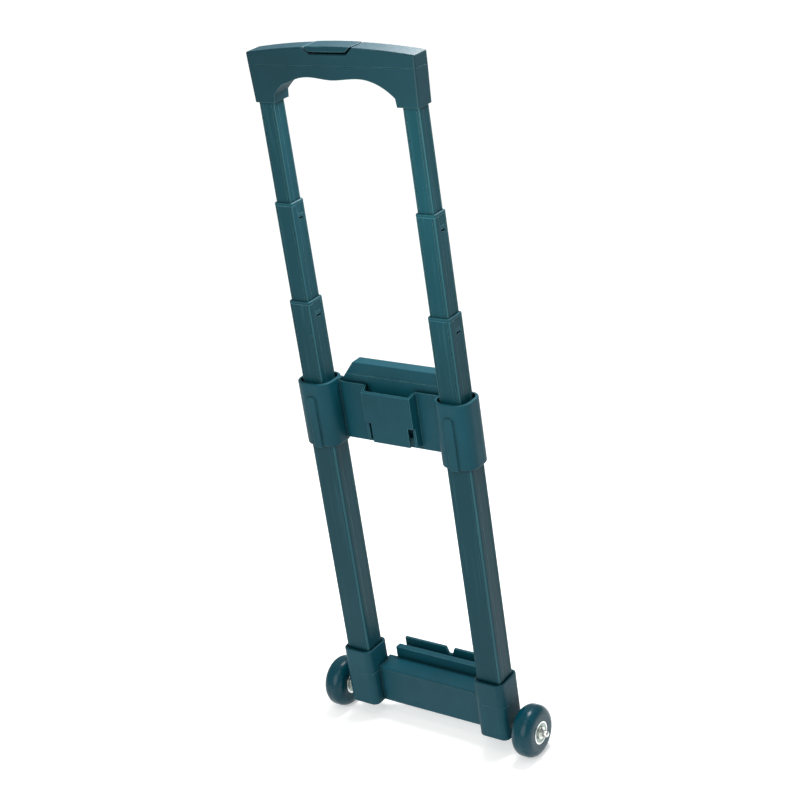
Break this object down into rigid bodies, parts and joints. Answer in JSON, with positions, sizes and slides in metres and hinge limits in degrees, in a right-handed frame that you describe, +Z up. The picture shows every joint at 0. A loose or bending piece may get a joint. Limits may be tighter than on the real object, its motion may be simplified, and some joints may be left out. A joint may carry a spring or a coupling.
{
  "type": "telescopic trolley frame",
  "caption": "Clip-on telescopic trolley frame for stackable tool cases: arched grip with release button, nested columns, case latch, docking rail and small wheels.",
  "frame": {"origin": "at the middle of the docking channel's floor, where the foot rib of the carried case sits and holds the frame upright", "axes": "+Z up along the columns, +X across the frame to the user's right, +Y towards the carried case"},
  "size_m": [0.254, 0.066, 0.6718],
  "materials": {
    "tube_alloy": "satin powder coat",
    "collar_plastic": "fine texture",
    "plug_plastic": "plain",
    "tyre_urethane": "glossy solid urethane",
    "bearing_steel": "ground",
    "bearing_shield": "stamped",
    "axle_steel": "zinc plated",
    "screw_steel": "zinc plated",
    "spring_steel": "drawn wire",
    "rod_steel": "drawn",
    "grip_plastic": "fine grain",
    "button_plastic": "fine grain",
    "housing_plastic": "fine grain"
  },
  "bodies": {
    "frame": {"base_lower": "housing_plastic", "base_upper": "housing_plastic", "docking_rail": "housing_plastic", "dock_screws": "screw_steel", "base_screws": "screw_steel", "middle_bracket": "housing_plastic", "bracket_cover": "housing_plastic", "bracket_screws": "screw_steel", "hook_springs": "spring_steel", "outer_tube_left": "tube_alloy", "outer_tube_right": "tube_alloy", "outer_bush_left": "collar_plastic", "outer_bush_right": "collar_plastic", "axle_clip_left": "axle_steel", "axle_clip_right": "axle_steel", "axle_left": "axle_steel", "axle_right": "axle_steel", "axle_spacers_left": "axle_steel", "axle_spacers_right": "axle_steel", "bearing_inner_races_left": "bearing_steel", "bearing_inner_races_right": "bearing_steel"},
    "stage3": {"stage3_collar_left": "collar_plastic", "stage3_collar_right": "collar_plastic", "stage3_plug_left": "plug_plastic", "stage3_plug_right": "plug_plastic", "stage3_tube_left": "tube_alloy", "stage3_tube_right": "tube_alloy"},
    "stage2": {"stage2_collar_left": "collar_plastic", "stage2_collar_right": "collar_plastic", "stage2_plug_left": "plug_plastic", "stage2_plug_right": "plug_plastic", "stage2_tube_left": "tube_alloy", "stage2_tube_right": "tube_alloy"},
    "grip": {"stage1_plug_left": "plug_plastic", "stage1_plug_right": "plug_plastic", "stage1_tube_left": "tube_alloy", "stage1_tube_right": "tube_alloy", "handle_lower": "grip_plastic", "handle_upper": "grip_plastic", "handle_screws": "screw_steel", "release_springs": "spring_steel"},
    "release": {"release_button": "button_plastic", "release_yoke": "plug_plastic", "release_rod_left": "rod_steel", "release_rod_right": "rod_steel"},
    "case_hook": {"case_hook": "housing_plastic"},
    "wheel_left": {"tyre_left": "tyre_urethane", "bearing_outer_races_left": "bearing_steel", "bearing_shields_left": "bearing_shield", "bearing_balls_left": "bearing_steel"},
    "wheel_right": {"tyre_right": "tyre_urethane", "bearing_outer_races_right": "bearing_steel", "bearing_shields_right": "bearing_shield", "bearing_balls_right": "bearing_steel"}
  },
  "joints": [
    {"name": "stage3_slide", "type": "slide", "parent": "frame", "child": "stage3", "axis": [0, 0, 1], "range_m": [-0.0745, 0.112]},
    {"name": "stage2_slide", "type": "slide", "parent": "stage3", "child": "stage2", "axis": [0, 0, 1], "range_m": [-0.0898, 0.098]},
    {"name": "grip_slide", "type": "slide", "parent": "stage2", "child": "grip", "axis": [0, 0, 1], "range_m": [-0.0893, 0.09]},
    {"name": "release_press", "type": "slide", "parent": "grip", "child": "release", "axis": [0, 0, -1], "range_m": [0, 0.0015], "stiffness_N_per_m": 1200, "springref_m": -0.004, "deforming": ["release_springs"]},
    {"name": "case_hook_lift", "type": "slide", "parent": "frame", "child": "case_hook", "axis": [0, 0, 1], "range_m": [0, 0.008], "stiffness_N_per_m": 500, "springref_m": -0.006, "deforming": ["hook_springs"]},
    {"name": "wheel_left_spin", "type": "hinge", "parent": "frame", "child": "wheel_left", "pos_m": [-0.1087, -0.031, -0.027], "axis": [1, 0, 0], "continuous": true},
    {"name": "wheel_right_spin", "type": "hinge", "parent": "frame", "child": "wheel_right", "pos_m": [0.1087, -0.031, -0.027], "axis": [1, 0, 0], "continuous": true}
  ]
}
